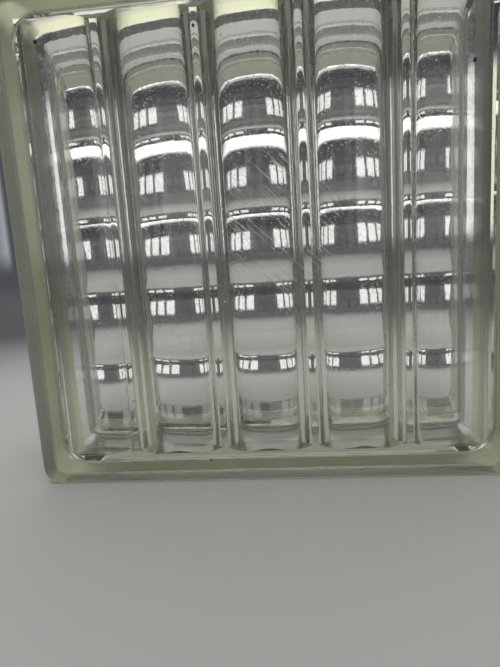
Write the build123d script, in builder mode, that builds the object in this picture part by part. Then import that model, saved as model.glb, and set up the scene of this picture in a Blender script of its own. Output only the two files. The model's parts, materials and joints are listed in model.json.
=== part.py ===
"""Hollow glass block, 190 x 190 x 80 mm, with crossed flutes inside its two panes.

Two like pressings of clear glass are melted together rim to rim, so the block
is one closed piece of glass with sealed air inside. The front pane (-Y) has
upright flutes on its inner side, and the back pane (+Y) has level ones, because
the back pressing is the front one turned over by a quarter.

Lengths are in millimetres. +Z is up, and the block stands on z = 0.
"""

import math
import os

from build123d import *

os.makedirs("parts", exist_ok=True)

# Outside of the block
face_size = 190.0
block_depth = 80.0
face_corner_radius = 7.0
face_edge_radius = 1.5

# Mortar channel that runs round the block between its two edge flanges
channel_width = 40.0
channel_depth = 4.5
channel_corner_radius = 11.0
shoulder_run = 5.0
shoulder_radius = 3.0

# Cavity of each pressing, which widens from the pane to the seam
rim_width = 10.5
seam_wall = 5.2
cavity_corner_radius = 6.0
cavity_floor_radius = 3.0

# Pane at the bottom of its flutes, and the ribs that part the flutes
pane_thickness = 4.5
rib_count = 4
rib_pitch = 37.5
rib_height = 10.1
rib_crest_radius = 2.4

# Bead of melted glass along the seam
seam_bead_width = 9.0
seam_bead_rise = 2.2

# How far a cutting or filling form runs past the surface that it meets
overrun = 0.3

# Two heights that differ by less than this are the same
height_match = 0.001

# Heights are measured from the seam towards the face of the pressing
pressing_height = block_depth / 2
channel_edge = channel_width / 2
flange_edge = channel_edge + shoulder_run
channel_size = face_size - 2 * channel_depth
cavity_at_pane = face_size - 2 * rim_width
cavity_at_seam = channel_size - 2 * seam_wall
flute_bottom = pressing_height - pane_thickness
cavity_floor = flute_bottom + overrun
cavity_draft = math.degrees(math.atan2((cavity_at_seam - cavity_at_pane) / 2, cavity_floor))

# The flutes are round, and each runs smoothly into the crests of the ribs beside it
rib_reach = rib_pitch / 2
centre_gap = (rib_reach**2 + rib_height**2) / (2 * rib_height)
flute_radius = centre_gap - rib_crest_radius
flute_turn = math.degrees(math.asin(rib_reach / centre_gap))

# Section across the ribs of one pressing: y is the height above the bottom of
# the flutes, towards the seam
section_plane = Plane(origin=(0, -flute_bottom, 0))

# Glass of one rib, from the middle of one flute to the middle of the next
with BuildSketch() as rib_outline:
    with BuildLine():
        CenterArc((-rib_reach, flute_radius), flute_radius, -90, flute_turn)
        CenterArc(
            (0, rib_height - rib_crest_radius), rib_crest_radius, 90 - flute_turn, 2 * flute_turn
        )
        CenterArc((rib_reach, flute_radius), flute_radius, -90 - flute_turn, flute_turn)
        Polyline(
            (rib_reach, 0), (rib_reach, -2 * overrun), (-rib_reach, -2 * overrun), (-rib_reach, 0)
        )
    make_face()

# The outermost flutes run on until the walls of the cavity cut them off
with BuildSketch(section_plane) as fluted_section:
    with GridLocations(rib_pitch, 0, rib_count + 2, 1):
        add(rib_outline.sketch)

# Air space of one pressing: a drafted pocket with the flutes at its bottom
with BuildPart() as pressing_cavity:
    with BuildSketch(Plane.XZ):
        RectangleRounded(cavity_at_seam, cavity_at_seam, cavity_corner_radius)
    extrude(amount=cavity_floor, taper=cavity_draft)
    fillet(faces().sort_by(Axis.Y)[0].edges(), cavity_floor_radius)
    add(fluted_section.sketch)
    extrude(amount=cavity_at_seam / 2, both=True, mode=Mode.SUBTRACT)

# One pressing, with its seam on y = 0 and its face towards -Y
with BuildPart() as pressing:
    with BuildSketch(Plane.XZ):
        RectangleRounded(channel_size, channel_size, channel_corner_radius)
    extrude(amount=channel_edge)
    with BuildSketch(Plane.XZ.offset(channel_edge)):
        RectangleRounded(channel_size, channel_size, channel_corner_radius)
    with BuildSketch(Plane.XZ.offset(flange_edge)):
        RectangleRounded(face_size, face_size, face_corner_radius)
    loft()
    with BuildSketch(Plane.XZ.offset(flange_edge)):
        RectangleRounded(face_size, face_size, face_corner_radius)
    extrude(amount=pressing_height - flange_edge)
    fillet(faces().sort_by(Axis.Y)[0].edges(), face_edge_radius)
    for height in (channel_edge, flange_edge):
        shoulder_edges = edges().filter_by_position(
            Axis.Y, -height - height_match, -height + height_match
        )
        fillet(shoulder_edges, shoulder_radius)
    add(pressing_cavity.part, mode=Mode.SUBTRACT)

# Line of the seam, along the middle of the wall
block_middle = face_size / 2
seam_plane = Plane(origin=(0, 0, block_middle), x_dir=(1, 0, 0), z_dir=(0, -1, 0))
seam_line_size = channel_size - seam_wall
seam_line_radius = (channel_corner_radius + cavity_corner_radius) / 2
with BuildSketch(seam_plane) as seam_line:
    RectangleRounded(seam_line_size, seam_line_size, seam_line_radius)
seam_path = seam_line.sketch.face().outer_wire()

# The bead is an oval that is wider than the wall
bead_plane = Plane(origin=seam_path @ 0, x_dir=(0, 1, 0), z_dir=seam_path % 0)
with BuildSketch(bead_plane) as bead_section:
    Ellipse(seam_bead_width / 2, seam_wall / 2 + seam_bead_rise)

# The whole block: two pressings joined at the seam, the back one turned over
with BuildPart() as glass_block:
    with Locations((0, 0, block_middle)):
        add(pressing.part)
    with Locations(Location((0, 0, block_middle), (0, 90, 180))):
        add(pressing.part)
    sweep(bead_section.sketch, path=seam_path)

glass_block.part.label = "glass_block"
export_step(glass_block.part, "parts/glass_block.step")
print("glass_block volume", round(glass_block.part.volume / 1000, 1), "cm3")
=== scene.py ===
"""Looks for the hollow glass block: clear pressed glass in a soft studio.

Lengths are in metres and angles in degrees. Unless its comment says otherwise,
a pair of numbers is a soft border: where it starts and where it is complete.
"""

import json
import math
import random

import bpy
from mathutils import Matrix, Vector

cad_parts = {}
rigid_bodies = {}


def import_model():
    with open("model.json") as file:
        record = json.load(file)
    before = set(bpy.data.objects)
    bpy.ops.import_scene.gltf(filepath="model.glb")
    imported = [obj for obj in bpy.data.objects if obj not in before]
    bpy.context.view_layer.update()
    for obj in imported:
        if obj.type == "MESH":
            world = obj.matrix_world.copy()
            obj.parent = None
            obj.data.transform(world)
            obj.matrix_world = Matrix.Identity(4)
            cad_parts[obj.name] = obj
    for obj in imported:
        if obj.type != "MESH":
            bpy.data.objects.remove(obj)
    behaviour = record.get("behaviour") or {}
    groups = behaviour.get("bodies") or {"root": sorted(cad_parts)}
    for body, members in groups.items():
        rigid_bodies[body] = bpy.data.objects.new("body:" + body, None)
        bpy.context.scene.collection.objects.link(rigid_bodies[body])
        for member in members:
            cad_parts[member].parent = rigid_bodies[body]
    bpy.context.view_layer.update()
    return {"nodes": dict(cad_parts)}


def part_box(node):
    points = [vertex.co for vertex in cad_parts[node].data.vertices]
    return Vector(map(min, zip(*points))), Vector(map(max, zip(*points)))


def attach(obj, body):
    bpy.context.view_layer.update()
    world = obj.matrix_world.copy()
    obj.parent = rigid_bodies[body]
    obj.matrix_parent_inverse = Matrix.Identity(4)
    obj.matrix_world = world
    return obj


# Camera, fitted to the photograph's perspective. The photograph is measured in
# pixels, and the camera's sensor in millimetres
CAMERA_PLACE = Vector((0.0103, -0.2044, 0.0834))
CAMERA_TILT = 8.2
CAMERA_PAN = 5.21
CAMERA_ROLL = -3.61
FOCAL_PIXELS = 437.0
PHOTO_HEIGHT = 667.0
SENSOR_SIDE = 36.0
NEAREST_SEEN = 0.01

# How often light may bounce: panes behind panes need many bounces
GLASS_BOUNCES = 22
GLOSS_BOUNCES = 12
FLOOR_BOUNCES = 4

# Floor, flat in its middle, which lifts at its rim and fades into the studio. Its
# flat part has two rings of points inside its radius
FLOOR_RADIUS = 1.9
FLOOR_RINGS = (0.6, 1.3)
FLOOR_TURNS = 96
SWEEP_RADIUS = 1.0
SWEEP_HEIGHT = 0.14
SWEEP_STEPS = 20
SWEEP_FADE = (0.004, 0.10)
SWEEP_ROUGHNESS = 0.8

# It is pale round the block and darker grey away from it: a painted pool of light
SWEEP_COLOR = (0.58, 0.575, 0.56)
PAINTED_SHADE_COLOR = (0.08, 0.083, 0.09)
PAINTED_FALLOFF_REACH = (0.14, 0.70)

# Studio walls: upright strips of light with shade between them, in two rows, one
# beyond each face of the block. Gaps are counted round a full turn, a swing of 1
# is the middle of a gap, and rows are measured from their middle
STRIP_GAPS = 45
GAP_SWING = (0.88, 0.55)
STRIP_SHADE = 0.06
STRIP_LIGHT = 1.0
ROW_START = (7.5, 9.5)
ROW_END = (36.0, 28.0)
PLAIN_WALL = 0.09

# Height of the strips above the horizon, and the shade above and below them
STRIP_FOOT = (1.0, 4.0)
STRIP_TOP = (21.0, 18.5)
SHADE_RISE = (2.0, 8.0)
LOW_SHADE = 0.08
HIGH_SHADE = 0.05

# Broad light overhead, with a thin gap in it: the gap's height and half its width.
# The light is weaker towards the block's sides, except near the crown
OVERHEAD_START = (36.0, 41.0)
OVERHEAD_LIGHT = 1.5
GAP_HEIGHT = 64.0
GAP_REACH = (1.5, 3.5)
SIDE_TURN = (35, 70)
SIDE_LIGHT = 0.30
CROWN_START = (50.0, 75.0)

# The shade is a little bluer than the light
SHADE_TONE = (0.90, 0.96, 1.08, 1.0)
LIGHT_TONE = (1.0, 0.995, 0.98, 1.0)

# Glass, with the colour and the density of its tint
GLASS_IOR = 1.52
TINT_COLOR = (0.72, 0.74, 0.36)
TINT_DENSITY = 7.0

# Soft borders in the glass. A reach is measured from the block's middle, across
# or up, and a gap from the seam towards the faces
INSIDE_REACH = (0.0868, 0.0860)
OUTSIDE_REACH = (0.0872, 0.0880)
SHOULDER_REACH = (0.0885, 0.0895)
LAND_REACH = (0.0935, 0.0945)
FLANGE_GAP = (0.0185, 0.0200)
FLANGE_END_GAP = (0.0388, 0.0384)
INSIDE_GAP = (0.0385, 0.0375)
FACE_GAP = (0.0390, 0.0399)

# Dull coat on the outside of the walls, for mortar to grip. It goes from the seam
# to an uneven border, this far from the seam at the top, the sides and the bottom
COAT_COLOR = (0.50, 0.54, 0.50)
COAT_ROUGHNESS = 0.70
COAT_EDGE_TOP = 0.0126
COAT_EDGE_SIDE = 0.0090
COAT_EDGE_BOTTOM = 0.0040
COAT_UNEVENNESS = 0.0030

# Shoulders of the flanges, and the lands, which are their outermost sides
FLANGE_ROUGHNESS = 0.55
SHOULDER_COLOR = (0.74, 0.76, 0.42)
LAND_COLOR = (0.50, 0.52, 0.38)

# Faint smears on the flat faces: the part of their noise that shows
SMEAR_RANGE = (0.55, 0.80)
SMEAR_ROUGHNESS = 0.035

# Noise patterns in the glass: features per metre, detail and roughness
BORDER_NOISE = (420.0, 3.0, 0.65)
SMEAR_NOISE = (28.0, 4.0, 0.6)
WAVE_NOISE = (55.0, 2.0, 0.5)
RIPPLE_NOISE = (330.0, 2.0, 0.6)
SPECKLE_NOISE = (1500.0, 1.0, 0.5)
GRAIN_NOISE = (1600.0, 2.0, 0.6)

# Upright streaks: features per metre across, in depth and up
STREAK_STRETCH = (900.0, 120.0, 60.0)
STREAK_NOISE = (1.0, 2.0, 0.6)

# Fine relief of the glass: its full height, and each pattern's share of that
RELIEF_HEIGHT = 0.00010
WAVE_SHARE = 0.18
RIPPLE_SHARE = 0.20
STREAK_SHARE = 0.10
SPECKLE_RANGE = (0.62, 0.72)
SPECKLE_SHARE = 0.12
GRAIN_SHARE = 0.15

# Patch of fine scratches on the front face: its middle, across and up, and how far
# it reaches. Few of them show beyond it, and none deeper than the front's skin
SCRATCH_PLACE = (0.007, 0.098)
SCRATCH_REACH = 0.030
SCRATCH_SPARSE = 0.06
FRONT_SKIN = 0.0004

# The scratches run down to the right: features per metre along and across them,
# and the part of their noise that shows
SCRATCH_ALONG = 18.0
SCRATCH_ACROSS = 1900.0
SCRATCH_NOISE = (1.0, 1.0, 0.4)
SCRATCH_RANGE = (0.635, 0.695)
SCRATCH_SHARE = 0.24
SCRATCH_ROUGHNESS = 0.14

# Air bubbles: their number, the least and greatest radius and depth under a face,
# and their distance from the block's sides. They are flat in depth, and drawn out
# upright by a factor between two
BUBBLES = 46
BUBBLE_SIZES = (0.00015, 0.00042)
BUBBLE_DEPTHS = (0.0012, 0.0032)
BUBBLE_MARGIN = 0.014
BUBBLE_FLATNESS = 0.8
BUBBLE_STRETCH = (1.0, 1.7)
BUBBLE_NOISE = 2500.0
BUBBLE_NOISE_RANGE = (0.4, 0.7)
BUBBLE_ROUGHNESS = 0.08

# Dark stones in the glass: the middle of each, then its radius
STONES = (
    ((-0.0762, -0.0385, 0.1700), 0.00055),
    ((-0.0180, -0.0383, 0.1696), 0.00050),
    ((0.0772, -0.0385, 0.1489), 0.00060),
    ((-0.0238, -0.0385, 0.0087), 0.00040),
)
STONE_FLATNESS = 0.6
STONE_STRETCH = 1.2
STONE_UNEVENNESS = 0.45
STONE_NOISE = (3000.0, 3.0)
STONE_DARK = (0.020, 0.018, 0.016)
STONE_LIGHT = (0.075, 0.065, 0.050)
STONE_ROUGHNESS = 0.7

# Points round a bubble or stone, and steps from its top to its bottom
LUMP_TURNS = 12
LUMP_RINGS = 7

RANDOM_SEED = 7
WHITE = (1.0, 1.0, 1.0)
DEGREES_PER_RADIAN = 180 / math.pi


def clear_scene():
    for thing in list(bpy.data.objects):
        bpy.data.objects.remove(thing)


clear_scene()
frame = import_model()
block = frame["nodes"]["glass_block"]
low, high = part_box("glass_block")
middle = (Vector(low) + Vector(high)) / 2
half_size = (Vector(high) - Vector(low)) / 2
rng = random.Random(RANDOM_SEED)


class Shade:
    """One node tree, with short calls for the nodes that it needs."""

    def __init__(self, tree):
        self.tree = tree
        tree.nodes.clear()

    def node(self, kind, **settings):
        made = self.tree.nodes.new(kind)
        for key, value in settings.items():
            setattr(made, key, value)
        return made

    def link(self, source, target):
        self.tree.links.new(source, target)

    def put(self, value, socket):
        """Set a socket to a number, a colour or another node's output."""
        if isinstance(value, bpy.types.NodeSocket):
            self.link(value, socket)
        else:
            socket.default_value = value

    def math(self, operation, *values):
        made = self.node("ShaderNodeMath", operation=operation)
        for value, socket in zip(values, made.inputs):
            self.put(value, socket)
        return made.outputs[0]

    def step(self, value, start, end, low_value=0.0, high_value=1.0):
        """Smooth step of a value between two edges."""
        made = self.node("ShaderNodeMapRange", interpolation_type="SMOOTHSTEP")
        for item, socket in zip((value, start, end, low_value, high_value), made.inputs):
            self.put(item, socket)
        return made.outputs[0]

    def mix(self, share, first, second):
        """Mix two numbers, each a number or another node's output."""
        made = self.node("ShaderNodeMix")
        for value, name in ((share, "Factor"), (first, "A"), (second, "B")):
            self.put(value, made.inputs[name])
        return made.outputs[0]

    def blend(self, share, first, second):
        """Mix two colours, each a triple or another node's output."""
        made = self.node("ShaderNodeMix", data_type="RGBA")
        self.put(share, made.inputs["Factor"])
        for value, name in ((first, "A"), (second, "B")):
            if not isinstance(value, bpy.types.NodeSocket):
                value = (*value, 1.0)
            self.put(value, made.inputs[name])
        return made.outputs["Result"]

    def noise(self, place, scale, detail=2.0, roughness=0.5):
        made = self.node("ShaderNodeTexNoise")
        self.put(place, made.inputs["Vector"])
        self.put(scale, made.inputs["Scale"])
        self.put(detail, made.inputs["Detail"])
        self.put(roughness, made.inputs["Roughness"])
        return made.outputs["Fac"]

    def stretch(self, place, factors):
        made = self.node("ShaderNodeMapping")
        self.put(place, made.inputs["Vector"])
        made.inputs["Scale"].default_value = factors
        return made.outputs[0]

    def place(self, kind):
        """A texture coordinate, whole and as its three numbers."""
        whole = self.node("ShaderNodeTexCoord").outputs[kind]
        split = self.node("ShaderNodeSeparateXYZ")
        self.link(whole, split.inputs[0])
        return whole, *split.outputs


def new_material(name):
    material = bpy.data.materials.new(name)
    material.use_nodes = True
    return material, Shade(material.node_tree)


def edge_coat(s, place, rise, side_reach, reach, seam_gap):
    """Coat on the outside of the walls, from the seam to its uneven border."""
    outside = s.step(reach, *OUTSIDE_REACH)
    is_top = s.math("GREATER_THAN", rise, side_reach)
    is_bottom = s.math("LESS_THAN", rise, s.math("MULTIPLY", side_reach, -1.0))
    more_at_top = s.math("MULTIPLY", is_top, COAT_EDGE_TOP - COAT_EDGE_SIDE)
    more_at_bottom = s.math("MULTIPLY", is_bottom, COAT_EDGE_BOTTOM - COAT_EDGE_SIDE)
    edge = s.math("ADD", COAT_EDGE_SIDE, more_at_top)
    edge = s.math("ADD", edge, more_at_bottom)
    border = s.noise(place, *BORDER_NOISE)
    uneven = s.math("MULTIPLY_ADD", border, COAT_UNEVENNESS, -COAT_UNEVENNESS / 2)
    edge = s.math("ADD", edge, uneven)
    return s.math("MULTIPLY", outside, s.math("LESS_THAN", seam_gap, edge))


def pressed_skin(s, place, reach, seam_gap):
    """Fine ripple, streaks and speckle on the inner surfaces."""
    near_walls = s.step(reach, *INSIDE_REACH)
    inside = s.math("MULTIPLY", near_walls, s.step(seam_gap, *INSIDE_GAP))
    ripple = s.noise(place, *RIPPLE_NOISE)
    streaks = s.noise(s.stretch(place, STREAK_STRETCH), *STREAK_NOISE)
    speckle = s.step(s.noise(place, *SPECKLE_NOISE), *SPECKLE_RANGE)
    ripple = s.math("MULTIPLY", ripple, RIPPLE_SHARE)
    streaks = s.math("MULTIPLY", streaks, STREAK_SHARE)
    speckle = s.math("MULTIPLY", speckle, SPECKLE_SHARE)
    skin = s.math("ADD", s.math("ADD", ripple, streaks), speckle)
    return s.math("MULTIPLY", skin, inside)


def scratch_lines(s, place, across, depth, rise):
    """Scratches on the front face: dense in their patch, sparse beyond it."""
    along = s.math("MULTIPLY", s.math("SUBTRACT", across, rise), SCRATCH_ALONG)
    over = s.math("MULTIPLY", s.math("ADD", across, rise), SCRATCH_ACROSS)
    lines = s.node("ShaderNodeCombineXYZ")
    s.link(along, lines.inputs["X"])
    s.link(over, lines.inputs["Z"])
    scratches = s.step(s.noise(lines.outputs[0], *SCRATCH_NOISE), *SCRATCH_RANGE)
    from_patch = s.node("ShaderNodeVectorMath", operation="DISTANCE")
    s.link(place, from_patch.inputs[0])
    from_patch.inputs[1].default_value = (SCRATCH_PLACE[0], low[1], SCRATCH_PLACE[1])
    distance = from_patch.outputs["Value"]
    patch = s.step(distance, SCRATCH_REACH * 0.5, SCRATCH_REACH, 1.0, SCRATCH_SPARSE)
    on_front = s.math("LESS_THAN", depth, low[1] + FRONT_SKIN)
    return s.math("MULTIPLY", s.math("MULTIPLY", scratches, patch), on_front)


def glass_material():
    glass, s = new_material("pressed_glass")
    out = s.node("ShaderNodeOutputMaterial")
    shader = s.node("ShaderNodeBsdfPrincipled")
    shader.inputs["IOR"].default_value = GLASS_IOR
    shader.inputs["Transmission Weight"].default_value = 1.0

    place, across, depth, height = s.place("Object")
    rise = s.math("SUBTRACT", height, middle.z)
    side_reach = s.math("ABSOLUTE", across)
    reach = s.math("MAXIMUM", side_reach, s.math("ABSOLUTE", rise))
    seam_gap = s.math("ABSOLUTE", depth)

    # Dull places: the coat round the seam, then the shoulders and lands
    coat = edge_coat(s, place, rise, side_reach, reach, seam_gap)
    flange_end = s.step(seam_gap, *FLANGE_END_GAP)
    flange = s.math("MULTIPLY", s.step(seam_gap, *FLANGE_GAP), flange_end)
    dull = s.math("MULTIPLY", s.step(reach, *SHOULDER_REACH), flange)
    land = s.math("MULTIPLY", dull, s.step(reach, *LAND_REACH))
    color = s.blend(coat, WHITE, COAT_COLOR)
    color = s.blend(dull, color, SHOULDER_COLOR)
    s.link(s.blend(land, color, LAND_COLOR), shader.inputs["Base Color"])

    on_face = s.step(seam_gap, *FACE_GAP)
    smear = s.step(s.noise(place, *SMEAR_NOISE), *SMEAR_RANGE, 0.0, SMEAR_ROUGHNESS)
    scratches = scratch_lines(s, place, across, depth, rise)
    roughness = s.math("MULTIPLY", coat, COAT_ROUGHNESS)
    roughness = s.math("MAXIMUM", roughness, s.math("MULTIPLY", dull, FLANGE_ROUGHNESS))
    roughness = s.math("ADD", roughness, s.math("MULTIPLY", smear, on_face))
    scratch_roughness = s.math("MULTIPLY", scratches, SCRATCH_ROUGHNESS)
    s.link(s.math("ADD", roughness, scratch_roughness), shader.inputs["Roughness"])

    # Relief: slow waves everywhere, the pressed skin, the scratches and the
    # grain of the dull places
    waves = s.math("MULTIPLY", s.noise(place, *WAVE_NOISE), WAVE_SHARE)
    skin = pressed_skin(s, place, reach, seam_gap)
    fine = s.math("SUBTRACT", skin, s.math("MULTIPLY", scratches, SCRATCH_SHARE))
    grain_share = s.math("MULTIPLY", s.math("MAXIMUM", coat, dull), GRAIN_SHARE)
    grain = s.math("MULTIPLY", s.noise(place, *GRAIN_NOISE), grain_share)
    bump = s.node("ShaderNodeBump")
    bump.inputs["Strength"].default_value = 1.0
    bump.inputs["Distance"].default_value = RELIEF_HEIGHT
    s.link(s.math("ADD", s.math("ADD", waves, fine), grain), bump.inputs["Height"])
    s.link(bump.outputs[0], shader.inputs["Normal"])

    s.link(shader.outputs["BSDF"], out.inputs["Surface"])
    tint = s.node("ShaderNodeVolumeAbsorption")
    tint.inputs["Color"].default_value = (*TINT_COLOR, 1.0)
    tint.inputs["Density"].default_value = TINT_DENSITY
    s.link(tint.outputs["Volume"], out.inputs["Volume"])
    return glass


def bubble_material():
    """Air inside the glass: light meets it the other way round."""
    air, s = new_material("trapped_air")
    out = s.node("ShaderNodeOutputMaterial")
    shader = s.node("ShaderNodeBsdfGlass")
    shader.inputs["IOR"].default_value = 1 / GLASS_IOR
    place = s.node("ShaderNodeTexCoord").outputs["Object"]
    spots = s.noise(place, BUBBLE_NOISE)
    roughness = s.step(spots, *BUBBLE_NOISE_RANGE, 0.0, BUBBLE_ROUGHNESS)
    s.link(roughness, shader.inputs["Roughness"])
    s.link(shader.outputs["BSDF"], out.inputs["Surface"])
    return air


def stone_material():
    stone, s = new_material("stone_speck")
    out = s.node("ShaderNodeOutputMaterial")
    shader = s.node("ShaderNodeBsdfPrincipled")
    place = s.node("ShaderNodeTexCoord").outputs["Object"]
    color = s.blend(s.noise(place, *STONE_NOISE), STONE_DARK, STONE_LIGHT)
    s.link(color, shader.inputs["Base Color"])
    shader.inputs["Roughness"].default_value = STONE_ROUGHNESS
    s.link(shader.outputs["BSDF"], out.inputs["Surface"])
    return stone


def smooth_object(name, points, faces, material):
    mesh = bpy.data.meshes.new(name)
    mesh.from_pydata([tuple(point) for point in points], [], faces)
    for face in mesh.polygons:
        face.use_smooth = True
    made = bpy.data.objects.new(name, mesh)
    bpy.context.scene.collection.objects.link(made)
    mesh.materials.append(material)
    return made


def add_lumps(name, lumps, unevenness, material):
    """Small closed lumps, each a middle and three half sizes, in one piece."""
    points, faces = [], []
    for center, sizes in lumps:
        start = len(points)
        points.append(center + Vector((0, 0, sizes[2])))
        for ring in range(1, LUMP_RINGS):
            tilt = math.pi * ring / LUMP_RINGS
            for turn in range(LUMP_TURNS):
                angle = 2 * math.pi * turn / LUMP_TURNS
                swell = 1 + unevenness * (rng.random() - 0.5)
                offset = Vector((
                    sizes[0] * math.sin(tilt) * math.cos(angle),
                    sizes[1] * math.sin(tilt) * math.sin(angle),
                    sizes[2] * math.cos(tilt),
                ))
                points.append(center + offset * swell)
        points.append(center - Vector((0, 0, sizes[2])))
        end = len(points) - 1
        for turn in range(LUMP_TURNS):
            after = (turn + 1) % LUMP_TURNS
            faces.append((start, start + 1 + turn, start + 1 + after))
            for ring in range(LUMP_RINGS - 2):
                row = start + 1 + ring * LUMP_TURNS
                below = row + LUMP_TURNS
                faces.append((row + turn, below + turn, below + after, row + after))
            row = start + 1 + (LUMP_RINGS - 2) * LUMP_TURNS
            faces.append((end, row + after, row + turn))
    piece = smooth_object(name, points, faces, material)
    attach(piece, "root")


def add_bubbles():
    """Seeds of air in both panes, well inside the glass at the flute bottoms."""
    lumps = []
    reach = half_size.x - BUBBLE_MARGIN
    for index in range(BUBBLES):
        across, rise = rng.uniform(-reach, reach), rng.uniform(-reach, reach)
        depth = rng.uniform(*BUBBLE_DEPTHS)
        radius = rng.uniform(*BUBBLE_SIZES)
        side = low[1] + depth if index % 2 else high[1] - depth
        stretch = rng.uniform(*BUBBLE_STRETCH)
        center = Vector((across, side, middle.z + rise))
        lumps.append((center, (radius, radius * BUBBLE_FLATNESS, radius * stretch)))
    add_lumps("air_seeds", lumps, 0.0, bubble_material())


def add_stones():
    lumps = []
    for place, radius in STONES:
        sizes = (radius, radius * STONE_FLATNESS, radius * STONE_STRETCH)
        lumps.append((Vector(place), sizes))
    add_lumps("stones", lumps, STONE_UNEVENNESS, stone_material())


def sweep_material():
    sweep, s = new_material("pale_sweep")
    out = s.node("ShaderNodeOutputMaterial")
    shader = s.node("ShaderNodeBsdfPrincipled")
    shader.inputs["Roughness"].default_value = SWEEP_ROUGHNESS
    place, _, _, height = s.place("Object")
    length = s.node("ShaderNodeVectorMath", operation="LENGTH")
    s.link(place, length.inputs[0])
    # Painted falloff of light: the floor's colour darkens away from the block
    painted_falloff = s.step(length.outputs["Value"], *PAINTED_FALLOFF_REACH)
    s.link(s.blend(painted_falloff, SWEEP_COLOR, PAINTED_SHADE_COLOR), shader.inputs["Base Color"])
    s.link(s.step(height, *SWEEP_FADE, 1.0, 0.0), shader.inputs["Alpha"])
    s.link(shader.outputs["BSDF"], out.inputs["Surface"])
    return sweep


def add_sweep():
    """Floor and backdrop in one smooth bowl, as a surface of revolution."""
    profile = [(radius, 0.0) for radius in FLOOR_RINGS]
    for index in range(SWEEP_STEPS + 1):
        angle = index / SWEEP_STEPS * math.pi / 2
        radius = FLOOR_RADIUS + SWEEP_RADIUS * math.sin(angle)
        profile.append((radius, SWEEP_HEIGHT * (1 - math.cos(angle))))
    points = [(0.0, 0.0, 0.0)]
    faces = []
    for radius, level in profile:
        for turn in range(FLOOR_TURNS):
            angle = 2 * math.pi * turn / FLOOR_TURNS
            points.append((radius * math.cos(angle), radius * math.sin(angle), level))
    for turn in range(FLOOR_TURNS):
        faces.append((0, 1 + turn, 1 + (turn + 1) % FLOOR_TURNS))
    for ring in range(len(profile) - 1):
        inner = 1 + ring * FLOOR_TURNS
        outer = inner + FLOOR_TURNS
        for turn in range(FLOOR_TURNS):
            after = (turn + 1) % FLOOR_TURNS
            faces.append((inner + turn, outer + turn, outer + after, inner + after))
    smooth_object("sweep", points, faces, sweep_material())


def strip_wall(s, turn, turn_size):
    """Light of the strips, and of the plain wall between and beside their rows."""
    swing = s.math("COSINE", s.math("MULTIPLY", turn, STRIP_GAPS))
    strips = s.step(swing, *GAP_SWING, STRIP_SHADE, STRIP_LIGHT)
    from_middle = s.math("MULTIPLY", turn_size, DEGREES_PER_RADIAN)
    row_end = s.step(from_middle, *ROW_END)
    row = s.math("MULTIPLY", s.step(from_middle, *ROW_START), row_end)
    return s.mix(row, PLAIN_WALL, strips)


def overhead_light(s, turn_size, elevation):
    """Light overhead, apart from its thin gap, weaker at the block's sides."""
    from_gap = s.math("ABSOLUTE", s.math("SUBTRACT", elevation, GAP_HEIGHT))
    gap = s.step(from_gap, *GAP_REACH)
    overhead = s.math("MULTIPLY", s.step(elevation, *OVERHEAD_START), gap)
    side_start, side_end = (math.radians(angle) for angle in SIDE_TURN)
    aside = s.step(turn_size, side_start, side_end, 1.0, SIDE_LIGHT)
    aside = s.math("MAXIMUM", aside, s.step(elevation, *CROWN_START))
    return s.math("MULTIPLY", s.math("MULTIPLY", overhead, aside), OVERHEAD_LIGHT)


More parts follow.
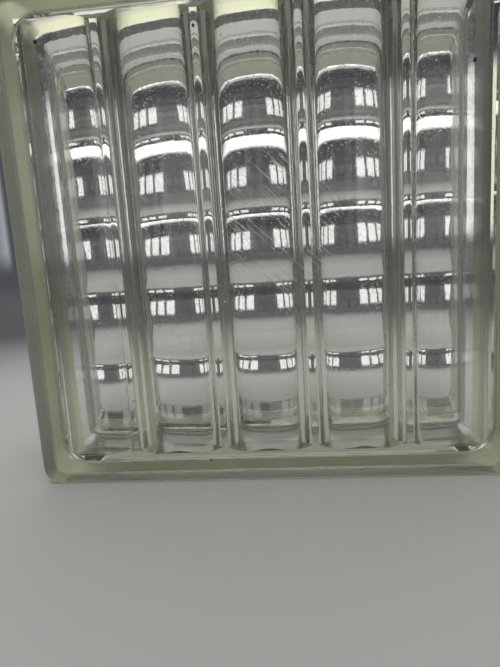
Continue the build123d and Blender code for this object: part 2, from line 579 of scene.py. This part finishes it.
def add_world():
    """Studio round the floor: walls with strips of light, and light overhead."""
    world = bpy.data.worlds.new("studio")
    bpy.context.scene.world = world
    world.use_nodes = True
    s = Shade(world.node_tree)
    out = s.node("ShaderNodeOutputWorld")
    back = s.node("ShaderNodeBackground")
    _, across, depth, height = s.place("Generated")
    elevation = s.math("MULTIPLY", s.math("ARCSINE", height), DEGREES_PER_RADIAN)
    turn = s.math("ARCTAN2", across, depth)
    # The wall beyond the back face is repeated beyond the front face
    turn = s.math("WRAP", turn, math.pi / 2, -math.pi / 2)
    turn_size = s.math("ABSOLUTE", turn)

    strips = strip_wall(s, turn, turn_size)
    strip_top = s.step(elevation, *STRIP_TOP)
    strip_rows = s.math("MULTIPLY", s.step(elevation, *STRIP_FOOT), strip_top)
    shade = s.step(elevation, *SHADE_RISE, LOW_SHADE, HIGH_SHADE)
    walls = s.mix(strip_rows, shade, strips)
    level = s.math("ADD", walls, overhead_light(s, turn_size, elevation))

    tone = s.node("ShaderNodeMix", data_type="RGBA")
    tone.inputs["A"].default_value = SHADE_TONE
    tone.inputs["B"].default_value = LIGHT_TONE
    s.link(s.math("MINIMUM", level, 1.0), tone.inputs["Factor"])
    s.link(tone.outputs["Result"], back.inputs["Color"])
    s.link(level, back.inputs["Strength"])
    s.link(back.outputs["Background"], out.inputs["Surface"])


def add_camera():
    data = bpy.data.cameras.new("camera")
    data.sensor_fit = "AUTO"
    data.sensor_width = SENSOR_SIDE
    data.lens = FOCAL_PIXELS / PHOTO_HEIGHT * SENSOR_SIDE
    data.clip_start = NEAREST_SEEN
    camera = bpy.data.objects.new("camera", data)
    bpy.context.scene.collection.objects.link(camera)
    tilt = Matrix.Rotation(math.radians(CAMERA_TILT), 3, "X")
    pan = Matrix.Rotation(math.radians(CAMERA_PAN), 3, "Y")
    roll = Matrix.Rotation(math.radians(CAMERA_ROLL), 3, "Z")
    # Axes of the level camera: x right, y down, z forward
    level = Matrix(((1, 0, 0), (0, 0, -1), (0, 1, 0)))
    view = roll @ tilt @ pan @ level
    right, down, forward = view[0], view[1], view[2]
    axes = Matrix((right, -down, -forward)).transposed()
    camera.matrix_world = Matrix.Translation(CAMERA_PLACE) @ axes.to_4x4()
    bpy.context.scene.camera = camera


block.data.materials.clear()
block.data.materials.append(glass_material())
add_bubbles()
add_stones()
add_sweep()
add_world()
add_camera()

scene = bpy.context.scene
scene.view_settings.view_transform = "Standard"
scene.cycles.max_bounces = GLASS_BOUNCES
scene.cycles.transmission_bounces = GLASS_BOUNCES
scene.cycles.glossy_bounces = GLOSS_BOUNCES
scene.cycles.diffuse_bounces = FLOOR_BOUNCES
